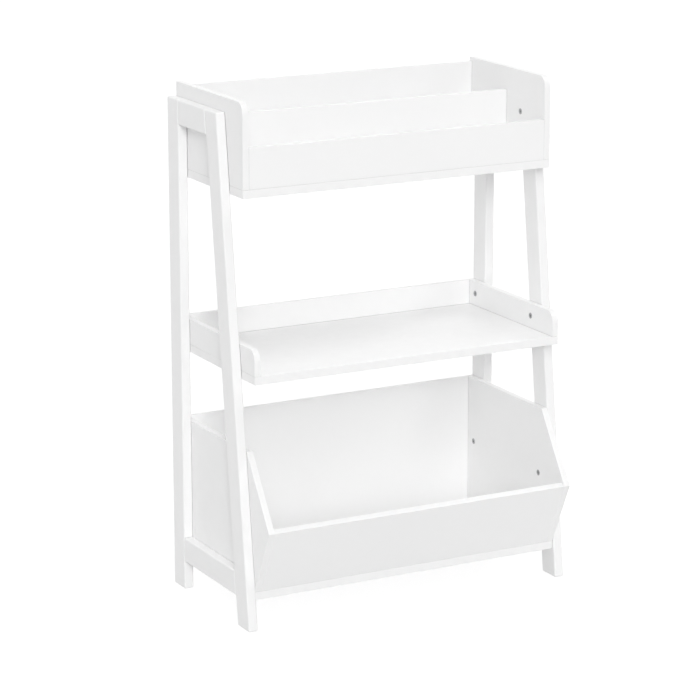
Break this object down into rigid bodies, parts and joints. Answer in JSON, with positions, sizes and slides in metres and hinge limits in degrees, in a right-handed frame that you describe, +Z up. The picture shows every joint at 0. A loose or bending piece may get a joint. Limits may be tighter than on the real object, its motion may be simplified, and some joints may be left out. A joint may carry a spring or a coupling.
{
  "type": "toy shelf",
  "caption": "Free-standing toy shelf for children: end frames with splayed front legs carry a divided tray, a low-lipped shelf and a deep bin with a tilted front.",
  "frame": {"origin": "on the floor, under the middle of the shelf's outline", "axes": "+X to the right of someone facing the shelf, +Y to the wall behind it, +Z up"},
  "size_m": [0.646, 0.3529, 0.925],
  "materials": {
    "white_lacquer": "satin white lacquer on board",
    "bolt_steel": "plain grey steel, turned",
    "zinc_steel": "bright zinc plating",
    "beech": "bare beech"
  },
  "bodies": {
    "root": {"bin_back": "white_lacquer", "bin_board": "white_lacquer", "bin_dowels": "beech", "bin_front": "white_lacquer", "bin_left_side": "white_lacquer", "bin_right_side": "white_lacquer", "bin_screws": "zinc_steel", "connector_bolts": "bolt_steel", "left_bottom_rail": "white_lacquer", "left_frame_dowels": "beech", "left_front_leg": "white_lacquer", "left_rear_leg": "white_lacquer", "left_top_rail": "white_lacquer", "right_bottom_rail": "white_lacquer", "right_frame_dowels": "beech", "right_front_leg": "white_lacquer", "right_rear_leg": "white_lacquer", "right_top_rail": "white_lacquer", "shelf_back": "white_lacquer", "shelf_board": "white_lacquer", "shelf_dowels": "beech", "shelf_left_side": "white_lacquer", "shelf_right_side": "white_lacquer", "shelf_screws": "zinc_steel", "threaded_inserts": "zinc_steel", "tray_back": "white_lacquer", "tray_board": "white_lacquer", "tray_divider": "white_lacquer", "tray_dowels": "beech", "tray_front": "white_lacquer", "tray_left_side": "white_lacquer", "tray_right_side": "white_lacquer", "tray_screws": "zinc_steel"}
  },
  "joints": []
}
